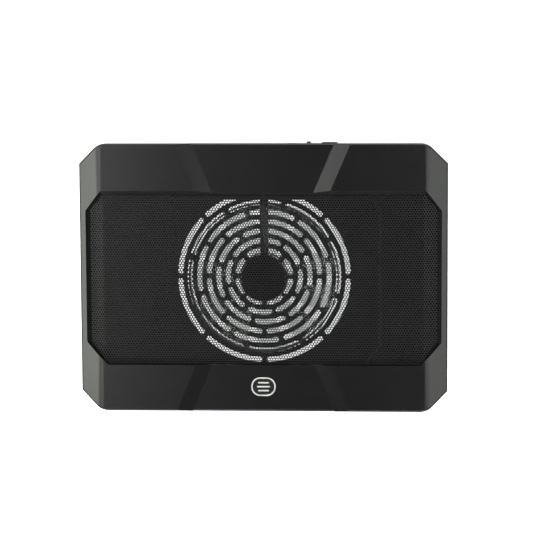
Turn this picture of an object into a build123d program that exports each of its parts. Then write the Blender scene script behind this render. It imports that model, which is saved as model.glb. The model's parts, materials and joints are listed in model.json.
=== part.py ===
"""Laptop cooling pad: a sloped two-part plastic case with a perforated steel top and one large fan."""

from build123d import *
from math import asin, cos, degrees, radians, sin, sqrt, tan
import os

os.makedirs("parts", exist_ok=True)

# ------------------------------------------------------------------ driving dimensions
# Millimetres and degrees. X runs across the pad, Y towards its rear edge, Z up.
WIDTH = 370
DEPTH = 271
SLOPE = 4.5
FRONT_HEIGHT = 28.5
CORNER_CUT = 20.5
CORNER_ROUND = 18

TOP_WALL = 13
SLAB = 26
SKIN = 2.5
RIM_ROUND = 2

CREASE = 166
SIDE_FALL = 18.5
CREASE_ROUND = 24

RAMP_WIDTH = 15
RAMP_SPREAD = 23.3
RAMP_START = (51.4, 88)
REAR_TROUGH = 2
FRONT_TROUGH = 0.8

OPENING_SIDE = 182.9
OPENING_REAR = 88.1
OPENING_FRONT = 88.4
OPENING_REAR_CUT = 20.4
OPENING_FRONT_CUT = 25.7
OPENING_ROUND = 3
SKIRT_WALL = 2.2
# how far each wall of the opening comes in for each millimetre of depth
SIDE_DRAW = 0.945
REAR_DRAW = 1.02
FRONT_DRAW = 0.3
FRONT_CUT_DRAW = 0.92

MESH_DEPTH = 4.5
MESH_CREASE = 161.5
MESH_CREASE_ROUND = 8
MESH_THICKNESS = 0.6

FAN_Y = -0.9
FAN_RADIUS = 73.4
BLADES = 11
HUB_RADIUS = 24
HOOP_INNER = 74.5
HOOP_OUTER = 75.7

SLOT_RINGS = 7
SLOTS_PER_RING = 8
FIRST_RING = 27
RING_PITCH = 9.68
SLOT_WIDTH = 5.1
BAR_WIDTH = 4.2
ARM_WIDTH = 8.9
ARM_ANGLE = 90
BARE_BESIDE_ARM = 13
COMPARTMENT_Y = 78.6

RISER_X = 130
RISER_Y = 107
RISER_SIZE = (62, 44)

# how far the cutting and trimming solids reach past what they cut
PAST = 10

# ------------------------------------------------------------------ planes of the slab
RISE = sin(radians(SLOPE))
RUN = cos(radians(SLOPE))
DECK = Plane(
    origin=(0, -TOP_WALL / 2 * RISE, FRONT_HEIGHT + DEPTH / 2 * RISE),
    x_dir=(1, 0, 0),
    z_dir=(0, -RISE, RUN),
)
ACROSS = Plane(origin=DECK.origin, x_dir=DECK.x_dir, z_dir=-DECK.y_dir)
ALONG = Plane(origin=DECK.origin, x_dir=DECK.y_dir, z_dir=DECK.x_dir)
DESK = Plane.XY
UP = Axis(DECK.origin, DECK.z_dir)
REARWARD = Axis(DECK.origin, DECK.y_dir)


def below(depth):
    """The plane parallel to the deck that lies depth under it."""
    return DECK.offset(-depth)


def fan_plane(depth):
    """The same, with its origin on the fan's axis."""
    origin = DECK.from_local_coords((0, FAN_Y, -depth))
    return Plane(origin=origin, x_dir=DECK.x_dir, z_dir=DECK.z_dir)


# ------------------------------------------------------------------ shared outlines
def pad_outline(inset):
    """The pad's eight-sided outline seen from above, drawn in by inset."""
    with BuildSketch(mode=Mode.PRIVATE) as outline:
        Rectangle(WIDTH, DEPTH)
        chamfer(outline.vertices(), CORNER_CUT)
        ends = outline.vertices().group_by(Axis.Y)
        fillet(ends[0] + ends[-1], CORNER_ROUND)
        if inset:
            offset(amount=-inset, kind=Kind.INTERSECTION)
    return outline.sketch


def roof_section(top, crease, floor, rounding):
    """The cross-section under a roof that is flat between its two creases and falls beyond them."""
    far = WIDTH / 2 + PAST
    eaves = top + (far - crease) * tan(radians(SIDE_FALL))
    with BuildSketch(mode=Mode.PRIVATE) as section:
        with BuildLine():
            Polyline(
                (-far, -floor),
                (-far, -eaves),
                (-crease, -top),
                (crease, -top),
                (far, -eaves),
                (far, -floor),
                close=True,
            )
        make_face()
        creases = section.vertices().group_by(Axis.X)
        fillet(creases[1] + creases[-2], rounding)
    return section.sketch


def trough(top, fall, end, rounding):
    """The space over a shallow trough between two spreading ramps, at the rear (1) or front (-1) end."""
    lift = 0.5
    edge = DEPTH / 2
    start = OPENING_REAR - PAST
    base = -top - fall - rounding - 1
    with BuildPart(mode=Mode.PRIVATE) as space:
        with BuildSketch(ALONG) as section:
            with BuildLine():
                Polyline(
                    (end * edge, -top - fall),
                    (end * start, -top - fall),
                    (end * start, lift - top),
                    (end * (edge + PAST), lift - top),
                    (end * (edge + PAST), base),
                    (end * edge, base),
                    close=True,
                )
            make_face()
            if rounding:
                rim = section.vertices().sort_by_distance((end * edge, -top - fall))[0]
                fillet(rim, rounding)
        extrude(amount=WIDTH / 3, both=True)
        for side in (-1, 1):
            spread = radians(RAMP_SPREAD)
            outward = DECK.x_dir * (side * cos(spread)) - DECK.y_dir * (end * sin(spread))
            line = DECK.x_dir * (side * sin(spread)) + DECK.y_dir * (end * cos(spread))
            foot = DECK.from_local_coords((side * RAMP_START[0], end * RAMP_START[1], -top))
            bank = Plane(origin=foot, x_dir=outward, z_dir=-line * (side * end))
            with BuildSketch(bank):
                with BuildLine():
                    Polyline(
                        (0, -fall),
                        (RAMP_WIDTH * (1 + lift / fall), lift),
                        (WIDTH / 2, lift),
                        (WIDTH / 2, base + top),
                        (0, base + top),
                        close=True,
                    )
                make_face()
            extrude(amount=WIDTH / 3, both=True, mode=Mode.SUBTRACT)
    return space.part


def slab_envelope(inset, floor):
    """The solid under the deck's surface, drawn in by inset, down to the depth floor."""
    crease = CREASE - inset * tan(radians(SIDE_FALL / 2))
    rounding = max(RIM_ROUND - inset, 0)
    with BuildPart(mode=Mode.PRIVATE) as body:
        with BuildSketch(below(-1)):
            add(pad_outline(inset))
        extrude(amount=-(floor + 1))
        with BuildSketch(ACROSS):
            add(roof_section(inset, crease, floor + 1, CREASE_ROUND - inset))
        extrude(amount=DEPTH, both=True, mode=Mode.INTERSECT)
        if rounding:
            walls = body.faces().filter_by(lambda f: abs(f.normal_at().dot(DECK.z_dir)) < 0.01)
            roof = body.faces().filter_by(lambda f: f.normal_at().dot(DECK.z_dir) > 0.5)
            wall_edges = walls.edges()
            fillet([edge for edge in roof.edges() if edge in wall_edges], rounding)
        add(trough(inset, REAR_TROUGH, 1, rounding), mode=Mode.SUBTRACT)
        add(trough(inset, FRONT_TROUGH, -1, rounding), mode=Mode.SUBTRACT)
    return body.part


def opening_outline(depth, margin):
    """The mesh opening's outline at a depth, where its four sloped walls have come that far in."""
    corner_growth = margin * (2 - sqrt(2))
    side = OPENING_SIDE - SIDE_DRAW * depth + margin
    rear = OPENING_REAR - REAR_DRAW * depth + margin
    front = OPENING_FRONT - FRONT_DRAW * depth + margin
    rear_cut = OPENING_REAR_CUT - REAR_DRAW * depth + corner_growth
    front_cut = OPENING_FRONT_CUT - FRONT_CUT_DRAW * depth + corner_growth
    with BuildSketch(mode=Mode.PRIVATE) as outline:
        with BuildLine():
            Polyline(
                (-side + rear_cut, rear),
                (side - rear_cut, rear),
                (side, rear - rear_cut),
                (side, front_cut - front),
                (side - front_cut, -front),
                (front_cut - side, -front),
                (-side, front_cut - front),
                (-side, rear - rear_cut),
                close=True,
            )
        make_face()
    return outline.sketch


def opening_space(top, bottom, margin):
    """The funnel-shaped space of the mesh opening between two depths."""
    with BuildPart(mode=Mode.PRIVATE) as space:
        for depth in (top, bottom):
            with BuildSketch(below(depth)):
                add(opening_outline(depth, margin))
        loft(ruled=True)
        slanted = space.edges().filter_by(lambda e: abs(e.tangent_at(0).dot(DECK.z_dir)) > 0.3)
        fillet(slanted, OPENING_ROUND)
    return space.part


def under_mesh(extra):
    """Everything lower than the mesh panel's surface moved down by extra."""
    with BuildPart(mode=Mode.PRIVATE) as space:
        with BuildSketch(ACROSS):
            add(roof_section(MESH_DEPTH + extra, MESH_CREASE, SLAB + PAST, MESH_CREASE_ROUND))
        extrude(amount=DEPTH, both=True)
    return space.part


# ------------------------------------------------------------------ rear ports and front lights
BOARD_DEPTH = 10.85
INLET = (30, 8.9)
SWITCH = (49, 9.1)
USB = (67, 8)
LIGHT_X = (-46, -18.5, 18.5, 46)
LIGHT_DEPTH = 7.5
LIGHT_SIZE = (11, 2.4)
USB_BEZEL = (16, 8.4, 0.7)
# the widths and heights of the windows for the inlet, the switch's knob and the socket
REAR_WINDOWS = ((INLET, 9, 5), (SWITCH, 11, 3.4), (USB, 14.2, 6.6))


def rear_wall(x, depth, y=DEPTH / 2):
    """A plane facing the rear at a place along the rear wall."""
    return Plane(origin=DECK.from_local_coords((x, y, -depth)), x_dir=-DECK.x_dir, z_dir=DECK.y_dir)


def front_wall(x, depth, y=-DEPTH / 2):
    """A plane facing the user at a place along the front wall."""
    return Plane(origin=DECK.from_local_coords((x, y, -depth)), x_dir=DECK.x_dir, z_dir=-DECK.y_dir)


# ------------------------------------------------------------------ screws between the covers
FRONT_SCREWS = [(-166, -98), (-72, -112), (72, -112), (166, -98)]
REAR_SCREWS = [(-170, 92), (-62, 108), (92, 108), (170, 92)]
CASE_SCREWS = FRONT_SCREWS + REAR_SCREWS
BOSS_RADIUS = 3.5
SCREW_RADIUS = 1.3
SCREW_HEAD = 2.6
SCREW_BITE = 8

# ------------------------------------------------------------------ top cover
cover_outside = slab_envelope(0, TOP_WALL)
cover_inside = slab_envelope(SKIN, TOP_WALL + 1)
skirt_outside = opening_space(SKIN / 5, TOP_WALL, SKIRT_WALL)
mesh_opening = opening_space(-1, TOP_WALL + 0.5, 0)
mesh_top = under_mesh(0)

with BuildPart() as skirt:
    add(skirt_outside)
    add(cover_outside, mode=Mode.INTERSECT)
    add(mesh_top, mode=Mode.SUBTRACT)

with BuildPart() as top_cover:
    add(cover_outside)
    add(cover_inside, mode=Mode.SUBTRACT)
    with BuildSketch(below(TOP_WALL)):
        with Locations(*CASE_SCREWS):
            Circle(BOSS_RADIUS)
    extrude(amount=TOP_WALL - SKIN)
    add(skirt.part)
    add(mesh_opening, mode=Mode.SUBTRACT)
    with BuildSketch(below(TOP_WALL)):
        with Locations(*CASE_SCREWS):
            Circle(SCREW_RADIUS)
    extrude(amount=SCREW_BITE, mode=Mode.SUBTRACT)
    # raised bezel of the socket, and the windows in the rear wall
    with BuildSketch(rear_wall(*USB)):
        RectangleRounded(USB_BEZEL[0], USB_BEZEL[1], 1.4)
    extrude(amount=USB_BEZEL[2])
    for place, width, height in REAR_WINDOWS:
        with BuildSketch(rear_wall(*place)):
            RectangleRounded(width, height, 0.8)
        extrude(amount=SKIN + 1, both=True, mode=Mode.SUBTRACT)
    # windows for the light guide in the front wall
    for x in LIGHT_X:
        with BuildSketch(front_wall(x, LIGHT_DEPTH)):
            RectangleRounded(*LIGHT_SIZE, 0.6)
        extrude(amount=SKIN + 1, both=True, mode=Mode.SUBTRACT)
top_cover.part.label = "top_cover"
export_step(top_cover.part, "parts/top_cover.step")

# ------------------------------------------------------------------ perforated mesh panel
mesh_bottom = under_mesh(MESH_THICKNESS)

with BuildPart() as mesh_panel:
    with BuildSketch(below(SLAB)):
        add(opening_outline(MESH_DEPTH + 1.5, SKIRT_WALL))
    extrude(amount=SLAB)
    add(mesh_top, mode=Mode.INTERSECT)
    add(mesh_bottom, mode=Mode.SUBTRACT)
mesh_panel.part.label = "mesh_panel"
export_step(mesh_panel.part, "parts/mesh_panel.step")

# ------------------------------------------------------------------ bottom cover with the fan grille
SEAM = 0.8
DRAFT = 10
FLOOR = SLAB - SKIN
TRAY = SLAB - TOP_WALL
EDGE_ROUND = 2
BOSS_BASE = 4.5
COUNTERBORE = (3, 4)
BOARD_THICKNESS = 1.6
PCB_SCREWS = [(19, 126), (80, 122)]
PCB_POST = 3
PCB_SCREW_RADIUS = 0.9
FAN_SCREW_CIRCLE = 13
FAN_SCREW_RECESS = 1.2
LIGHT_RESTS = [(-40, -127.4), (40, -127.4)]
LIGHT_REST_TOP = 11.5
RISER_SCREWS = [(side * RISER_X + dx, 92) for side in (-1, 1) for dx in (-24, 24)]
WALL_WIDTH = 190
WALL = 2
WIRE_GAP = (7, 2.2)
HOOP_SEAT = (1.2, 2.5)
FAN_DIAMETER_CLEAR = 2 * (HOOP_OUTER + HOOP_SEAT[0] + PAST)

with BuildSketch(Plane.XY) as slots:
    pitch = 360 / SLOTS_PER_RING
    for ring in range(SLOT_RINGS):
        radius = FIRST_RING + ring * RING_PITCH
        end_turn = degrees(asin((BAR_WIDTH + SLOT_WIDTH) / 2 / radius))
        bars = [pitch * (place + ring % 3 / 3) for place in range(SLOTS_PER_RING)]
        # a bar under the arm stays, and one right beside it is left out
        gaps = [radius * radians(abs(bar - ARM_ANGLE)) for bar in bars]
        bars = [bar for bar, gap in zip(bars, gaps) if gap < 1 or gap > BARE_BESIDE_ARM]
        for start, end in zip(bars, bars[1:] + [bars[0] + 360]):
            middle = Edge.make_circle(radius, start_angle=start + end_turn, end_angle=end - end_turn)
            SlotArc(middle, SLOT_WIDTH)
    Rectangle(ARM_WIDTH, FAN_DIAMETER_CLEAR, align=(Align.CENTER, Align.MIN), mode=Mode.SUBTRACT)
    with Locations((0, COMPARTMENT_Y - FAN_Y)):
        Rectangle(FAN_DIAMETER_CLEAR, 4 * PAST, align=(Align.CENTER, Align.MIN), mode=Mode.SUBTRACT)

with BuildPart() as bottom_cover:
    with BuildSketch(below(TOP_WALL)):
        add(pad_outline(SEAM))
    extrude(amount=-TRAY, taper=DRAFT)
    fillet(bottom_cover.faces().sort_by(UP)[0].edges(), EDGE_ROUND)
    with BuildSketch(below(TOP_WALL)):
        add(pad_outline(SEAM + SKIN))
    extrude(amount=-(TRAY - SKIN), taper=DRAFT, mode=Mode.SUBTRACT)
    # screw bosses, board posts and the light board's rests stand on the floor
    with BuildSketch(below(FLOOR)):
        with Locations(*CASE_SCREWS):
            Circle(BOSS_BASE)
    extrude(amount=FLOOR - TOP_WALL)
    with BuildSketch(below(FLOOR)):
        with Locations(*PCB_SCREWS):
            Circle(PCB_POST)
    extrude(amount=FLOOR - BOARD_DEPTH - BOARD_THICKNESS)
    with BuildSketch(below(FLOOR)):
        with Locations(*LIGHT_RESTS):
            Rectangle(8, 3)
    extrude(amount=FLOOR - LIGHT_REST_TOP)
    # wall of the electronics compartment, with a gap for the fan's wires
    with BuildSketch(below(FLOOR)):
        with Locations((0, COMPARTMENT_Y)):
            Rectangle(WALL_WIDTH, WALL, align=(Align.CENTER, Align.MIN))
        for side in (-1, 1):
            with Locations((side * (WALL_WIDTH - WALL) / 2, COMPARTMENT_Y)):
                Rectangle(WALL, 9, align=(Align.CENTER, Align.MIN))
    extrude(amount=FLOOR - MESH_DEPTH - MESH_THICKNESS - 0.1)
    with BuildSketch(below(FLOOR)):
        with Locations((0, COMPARTMENT_Y + WALL / 2)):
            Rectangle(WIRE_GAP[0], 3 * WALL)
    extrude(amount=WIRE_GAP[1] + 0.8, mode=Mode.SUBTRACT)
    # low ring that the fan's hoop drops into
    with BuildSketch(fan_plane(FLOOR)):
        Circle(HOOP_OUTER + HOOP_SEAT[0])
        Circle(HOOP_OUTER, mode=Mode.SUBTRACT)
        with Locations((0, COMPARTMENT_Y - FAN_Y)):
            Rectangle(FAN_DIAMETER_CLEAR, 2 * PAST, align=(Align.CENTER, Align.MIN), mode=Mode.SUBTRACT)
        Rectangle(ARM_WIDTH, FAN_DIAMETER_CLEAR, align=(Align.CENTER, Align.MIN), mode=Mode.SUBTRACT)
    extrude(amount=HOOP_SEAT[1])
    # grille slots
    with BuildSketch(fan_plane(SLAB)):
        add(slots.sketch)
    extrude(amount=SKIN + HOOP_SEAT[1] + 0.5, mode=Mode.SUBTRACT)
    # holes and head recesses of the screws
    with BuildSketch(below(SLAB)):
        with Locations(*CASE_SCREWS):
            Circle(COUNTERBORE[0])
    extrude(amount=COUNTERBORE[1], mode=Mode.SUBTRACT)
    with BuildSketch(below(SLAB)):
        with Locations(*CASE_SCREWS, *RISER_SCREWS):
            Circle(SCREW_RADIUS)
    extrude(amount=TRAY, mode=Mode.SUBTRACT)
    with BuildSketch(below(BOARD_DEPTH + BOARD_THICKNESS)):
        with Locations(*PCB_SCREWS):
            Circle(PCB_SCREW_RADIUS)
    extrude(amount=-5, mode=Mode.SUBTRACT)
    with BuildSketch(fan_plane(SLAB)):
        with PolarLocations(FAN_SCREW_CIRCLE, 3, start_angle=30):
            Circle(SCREW_RADIUS)
    extrude(amount=SKIN, mode=Mode.SUBTRACT)
    with BuildSketch(fan_plane(SLAB)):
        with PolarLocations(FAN_SCREW_CIRCLE, 3, start_angle=30):
            Circle(SCREW_HEAD)
    extrude(amount=FAN_SCREW_RECESS, mode=Mode.SUBTRACT)
bottom_cover.part.label = "bottom_cover"
export_step(bottom_cover.part, "parts/bottom_cover.step")

# ------------------------------------------------------------------ fan: hoop, motor and rotor
HOOP_TOP = 9.5
HUB_TOP = 8
HUB_SKIRT = 20.5
HUB_WALL = 1.6
YOKE_RADIUS = 22.4
YOKE_WALL = 0.8
MAGNET = (19.4, 21.6)
SHAFT_RADIUS = 1.5
RUNNING_GAP = 0.05
BEARING_RADIUS = 4
BEARING_WALL = 1.2
BEARING_TOP = 12
STATOR_RADIUS = 18.7
STATOR_BOTTOM = 17.5
STATOR_HEIGHT = 5
POLES = 4
POLE_ARM = (11.5, 12, 4)
COIL = (12.5, 6.5, 8)
BASE_RADIUS = 21.5
BASE_TOP = FLOOR - 2
BLADE_MIDDLE = 14.5
BLADE_LIFT = 5
BLADE_THICKNESS = 1.2
BLADE_CAMBER = 0.9
BLADE_SWEEP = 6
BLADE_STATIONS = (21, 39, 57, 77)

with BuildPart() as fan_shroud:
    with BuildSketch(fan_plane(FLOOR)):
        Circle(HOOP_OUTER)
        Circle(HOOP_INNER, mode=Mode.SUBTRACT)
    extrude(amount=FLOOR - HOOP_TOP)
    mouth = fan_shroud.faces().sort_by(UP)[-1].edges().sort_by(SortBy.LENGTH)
    chamfer(mouth[0], 0.5)
    fillet(mouth[-1], 0.4)
    # gap for the wires
    with BuildSketch(fan_plane(FLOOR)):
        with Locations((0, HOOP_INNER)):
            Rectangle(WIRE_GAP[0], PAST)
    extrude(amount=WIRE_GAP[1], mode=Mode.SUBTRACT)
fan_shroud.part.label = "fan_shroud"
export_step(fan_shroud.part, "parts/fan_shroud.step")

with BuildPart() as motor_base:
    with BuildSketch(fan_plane(FLOOR)):
        Circle(BASE_RADIUS)
        with Locations((0, BASE_RADIUS)):
            Rectangle(6, 14, mode=Mode.SUBTRACT)
    extrude(amount=FLOOR - BASE_TOP)
    with BuildSketch(fan_plane(BASE_TOP)):
        Circle(BEARING_RADIUS + BEARING_WALL)
        Circle(BEARING_RADIUS, mode=Mode.SUBTRACT)
    extrude(amount=BASE_TOP - BEARING_TOP)
    with BuildSketch(fan_plane(FLOOR)):
        with PolarLocations(FAN_SCREW_CIRCLE, 3, start_angle=30):
            Circle(SCREW_RADIUS)
    extrude(amount=FLOOR - BASE_TOP - 0.4, mode=Mode.SUBTRACT)
motor_base.part.label = "motor_base"
export_step(motor_base.part, "parts/motor_base.step")

with BuildPart() as fan_bearing:
    with BuildSketch(fan_plane(BASE_TOP)):
        Circle(BEARING_RADIUS)
        Circle(SHAFT_RADIUS + RUNNING_GAP, mode=Mode.SUBTRACT)
    extrude(amount=BASE_TOP - BEARING_TOP)
fan_bearing.part.label = "fan_bearing"
export_step(fan_bearing.part, "parts/fan_bearing.step")

with BuildPart() as fan_circuit:
    with BuildSketch(fan_plane(BASE_TOP)):
        Circle(18.5)
        Circle(BEARING_RADIUS + BEARING_WALL, mode=Mode.SUBTRACT)
    extrude(amount=1)
fan_circuit.part.label = "fan_circuit"
export_step(fan_circuit.part, "parts/fan_circuit.step")

with BuildPart() as stator_core:
    with BuildSketch(fan_plane(STATOR_BOTTOM)):
        Circle(STATOR_RADIUS)
        Circle(STATOR_RADIUS - 2, mode=Mode.SUBTRACT)
        with PolarLocations(STATOR_RADIUS - 1, POLES, start_angle=180 / POLES):
            Rectangle(8, 5, mode=Mode.SUBTRACT)
        with PolarLocations(POLE_ARM[0], POLES):
            Rectangle(*POLE_ARM[1:])
        Circle(8)
        Circle(BEARING_RADIUS + BEARING_WALL, mode=Mode.SUBTRACT)
    extrude(amount=STATOR_HEIGHT)
stator_core.part.label = "stator_core"
export_step(stator_core.part, "parts/stator_core.step")

with BuildPart() as stator_coils:
    with BuildSketch(fan_plane(STATOR_BOTTOM + 1.5)):
        with PolarLocations(COIL[0], POLES):
            RectangleRounded(COIL[1], COIL[2], 1.5)
    extrude(amount=STATOR_HEIGHT + 3)
    with BuildSketch(fan_plane(STATOR_BOTTOM)):
        with PolarLocations(POLE_ARM[0], POLES):
            Rectangle(*POLE_ARM[1:])
    extrude(amount=STATOR_HEIGHT, mode=Mode.SUBTRACT)
stator_coils.part.label = "stator_coils"
export_step(stator_coils.part, "parts/stator_coils.step")


def blade_section_plane(radius):
    """The upright plane across a blade at a radius; the blade sweeps further round towards its tip."""
    turn = radians(BLADE_SWEEP * ((radius - BLADE_STATIONS[0]) / 43) ** 1.25)
    return Plane(
        origin=(radius * cos(turn), radius * sin(turn), -BLADE_MIDDLE),
        x_dir=(-sin(turn), cos(turn), 0),
        z_dir=(cos(turn), sin(turn), 0),
    )


with BuildPart() as blade:
    for radius in BLADE_STATIONS:
        half = radius * tan(radians(14.2 - radius / 38))
        with BuildSketch(blade_section_plane(radius)):
            with BuildLine():
                low = (-half, -BLADE_LIFT - BLADE_THICKNESS / 3)
                low_top = (-half, -BLADE_LIFT + BLADE_THICKNESS / 3)
                high_top = (half, BLADE_LIFT + BLADE_THICKNESS / 3)
                high = (half, BLADE_LIFT - BLADE_THICKNESS / 3)
                Line(low, low_top)
                ThreePointArc(low_top, (0, BLADE_CAMBER + BLADE_THICKNESS / 2), high_top)
                Line(high_top, high)
                ThreePointArc(high, (0, BLADE_CAMBER - BLADE_THICKNESS / 2), low)
            make_face()
    loft()
    with BuildSketch(Plane.XY):
        Circle(FAN_RADIUS)
    extrude(amount=-SLAB, mode=Mode.INTERSECT)

with BuildPart() as rotor_hub:
    with BuildSketch(Plane.XY.offset(-HUB_TOP)):
        Circle(HUB_RADIUS)
    extrude(amount=HUB_TOP - HUB_SKIRT)
    fillet(rotor_hub.edges().sort_by(Axis.Z)[-1], 2)
    with BuildSketch(Plane.XY.offset(-HUB_TOP - HUB_WALL)):
        Circle(YOKE_RADIUS)
    extrude(amount=-HUB_SKIRT, mode=Mode.SUBTRACT)

with BuildPart() as rotor_inside:
    with BuildSketch(Plane.XY.offset(-HUB_TOP - HUB_WALL)):
        Circle(YOKE_RADIUS)
    extrude(amount=-HUB_SKIRT)

with BuildPart() as rotor:
    add(rotor_hub.part)
    with PolarLocations(0, BLADES, start_angle=180 / BLADES - BLADE_SWEEP - 2):
        add(blade.part)
    add(rotor_inside.part, mode=Mode.SUBTRACT)

with BuildPart() as fan_rotor:
    add(rotor.part.moved(fan_plane(0).location))
fan_rotor.part.label = "fan_rotor"
export_step(fan_rotor.part, "parts/fan_rotor.step")

with BuildPart() as rotor_yoke:
    with BuildSketch(fan_plane(HUB_TOP + HUB_WALL)):
        Circle(YOKE_RADIUS)
        Circle(SHAFT_RADIUS, mode=Mode.SUBTRACT)
    extrude(amount=-(HUB_SKIRT - HUB_TOP - HUB_WALL - 0.6))
    with BuildSketch(fan_plane(HUB_TOP + HUB_WALL + YOKE_WALL)):
        Circle(MAGNET[1])
    extrude(amount=-HUB_SKIRT, mode=Mode.SUBTRACT)
rotor_yoke.part.label = "rotor_yoke"
export_step(rotor_yoke.part, "parts/rotor_yoke.step")

with BuildPart() as rotor_magnet:
    with BuildSketch(fan_plane(HUB_TOP + HUB_WALL + YOKE_WALL + 0.6)):
        Circle(MAGNET[1])
        Circle(MAGNET[0], mode=Mode.SUBTRACT)
    extrude(amount=-8.5)
rotor_magnet.part.label = "rotor_magnet"
export_step(rotor_magnet.part, "parts/rotor_magnet.step")

with BuildPart() as rotor_shaft:
    with BuildSketch(fan_plane(HUB_TOP + HUB_WALL)):
        Circle(SHAFT_RADIUS)
    extrude(amount=-(BASE_TOP - HUB_TOP - HUB_WALL - 0.3))
rotor_shaft.part.label = "rotor_shaft"
export_step(rotor_shaft.part, "parts/rotor_shaft.step")

with BuildPart() as fan_screws:
    with BuildSketch(fan_plane(SLAB - FAN_SCREW_RECESS)):
        with PolarLocations(FAN_SCREW_CIRCLE, 3, start_angle=30):
            Circle(SCREW_RADIUS)
    extrude(amount=2.8)
    with BuildSketch(fan_plane(SLAB)):
        with PolarLocations(FAN_SCREW_CIRCLE, 3, start_angle=30):
            Circle(SCREW_HEAD)
    extrude(amount=FAN_SCREW_RECESS)
fan_screws.part.label = "fan_screws"
export_step(fan_screws.part, "parts/fan_screws.step")

# ------------------------------------------------------------------ control board and rear ports
BOARD_CENTRE = (49, 120.5)
BOARD_SIZE = (70, 24)
INLET_SIZE = (7.7, 3.9, 9.2)
INLET_TONGUE = (5.4, 0.8, 0)
USB_SIZE = (13.1, 5.7, 14)
USB_TONGUE = (11.1, 1.8, 1)
SHELL_WALL = 0.4
INSERT = 2
PORT_FACE = DEPTH / 2 - 0.6
SWITCH_SIZE = (8.8, 3.5, 4)
SWITCH_BACK = DEPTH / 2 - SKIN - 0.3
KNOB_TRAVEL = 6
KNOB_WIDTH = 4
CAPACITORS = [(38, 114), (58, 118)]
CHIP = (47, 116)
COIL_PLACE = (30, 118)
FAN_CONNECTOR = (22, 108)
LIGHT_CONNECTOR = (76, 109)

with BuildPart() as control_board:
    with BuildSketch(below(BOARD_DEPTH + BOARD_THICKNESS)):
        with Locations(BOARD_CENTRE):
            RectangleRounded(*BOARD_SIZE, 1.5)
        with Locations(*PCB_SCREWS):
            Circle(1, mode=Mode.SUBTRACT)
    extrude(amount=BOARD_THICKNESS)
control_board.part.label = "control_board"
export_step(control_board.part, "parts/control_board.step")

with BuildPart() as board_parts:
    # two electrolytic capacitors, the driver chip and a coil on top
    with BuildSketch(below(BOARD_DEPTH)):
        with Locations(*CAPACITORS):
            Circle(2.5)
    extrude(amount=5)
    with BuildSketch(below(BOARD_DEPTH)):
        with Locations(CHIP):
            Rectangle(5, 4)
        with Locations(COIL_PLACE):
            RectangleRounded(6, 6, 1)
    extrude(amount=1.6)
    # wire connectors underneath
    with BuildSketch(below(BOARD_DEPTH + BOARD_THICKNESS)):
        with Locations(FAN_CONNECTOR):
            Rectangle(6, 8)
        with Locations(LIGHT_CONNECTOR):
            Rectangle(8, 6)
    extrude(amount=-5.5)
board_parts.part.label = "board_parts"
export_step(board_parts.part, "parts/board_parts.step")


def port_shell(place, size, rounding):
    """A folded metal shell that opens to the rear."""
    with BuildPart(mode=Mode.PRIVATE) as shell:
        with BuildSketch(rear_wall(*place, PORT_FACE)):
            RectangleRounded(size[0], size[1], rounding)
        extrude(amount=-size[2])
        with BuildSketch(rear_wall(*place, PORT_FACE)):
            RectangleRounded(size[0] - 2 * SHELL_WALL, size[1] - 2 * SHELL_WALL, rounding - SHELL_WALL / 2)
        extrude(amount=INSERT - size[2], mode=Mode.SUBTRACT)
    return shell.part


def port_tongue(place, size, rounding, tongue):
    """The insulating block at the back of a port, with its tongue's width, thickness and rise."""
    with BuildPart(mode=Mode.PRIVATE) as insert:
        with BuildSketch(rear_wall(*place, PORT_FACE - size[2] + INSERT)):
            RectangleRounded(size[0] - 2 * SHELL_WALL, size[1] - 2 * SHELL_WALL, rounding - SHELL_WALL / 2)
        extrude(amount=INSERT)
        with BuildSketch(rear_wall(place[0], place[1] - tongue[2], PORT_FACE - size[2] + INSERT)):
            Rectangle(tongue[0], tongue[1])
        extrude(amount=size[2] - INSERT - 1.5)
    return insert.part


with BuildPart() as power_inlet:
    add(port_shell(INLET, INLET_SIZE, 0.8))
power_inlet.part.label = "power_inlet"
export_step(power_inlet.part, "parts/power_inlet.step")

with BuildPart() as power_inlet_insert:
    add(port_tongue(INLET, INLET_SIZE, 0.8, INLET_TONGUE))
power_inlet_insert.part.label = "power_inlet_insert"
export_step(power_inlet_insert.part, "parts/power_inlet_insert.step")

with BuildPart() as usb_socket:
    add(port_shell(USB, USB_SIZE, 0.5))
usb_socket.part.label = "usb_socket"
export_step(usb_socket.part, "parts/usb_socket.step")

with BuildPart() as usb_socket_insert:
    add(port_tongue(USB, USB_SIZE, 0.5, USB_TONGUE))
usb_socket_insert.part.label = "usb_socket_insert"
export_step(usb_socket_insert.part, "parts/usb_socket_insert.step")

with BuildPart() as switch_body:
    with BuildSketch(rear_wall(*SWITCH, SWITCH_BACK)):
        Rectangle(SWITCH_SIZE[0] + KNOB_WIDTH, SWITCH_SIZE[1])
    extrude(amount=-SWITCH_SIZE[2])
    with BuildSketch(rear_wall(*SWITCH, SWITCH_BACK)):
        Rectangle(KNOB_TRAVEL + KNOB_WIDTH + 1, 1.8)
    extrude(amount=-2.5, mode=Mode.SUBTRACT)
switch_body.part.label = "switch_body"
export_step(switch_body.part, "parts/switch_body.step")

with BuildPart() as switch_knob:
    knob_place = (SWITCH[0] - KNOB_TRAVEL / 2, SWITCH[1])
    with BuildSketch(rear_wall(*knob_place, SWITCH_BACK - 1.5)):
        Rectangle(2, 1.2)
    extrude(amount=1.8)
    with BuildSketch(rear_wall(*knob_place, SWITCH_BACK + 0.3)):
        RectangleRounded(KNOB_WIDTH, 2.6, 0.5)
    extrude(amount=SKIN + 1.6)
    ridge = Plane(switch_knob.faces().sort_by(REARWARD)[-1])
    with BuildSketch(ridge):
        with GridLocations(1.1, 1, 3, 1):
            Rectangle(0.4, 4)
    extrude(amount=-0.35, mode=Mode.SUBTRACT)
switch_knob.part.label = "switch_knob"
export_step(switch_knob.part, "parts/switch_knob.step")

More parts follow.
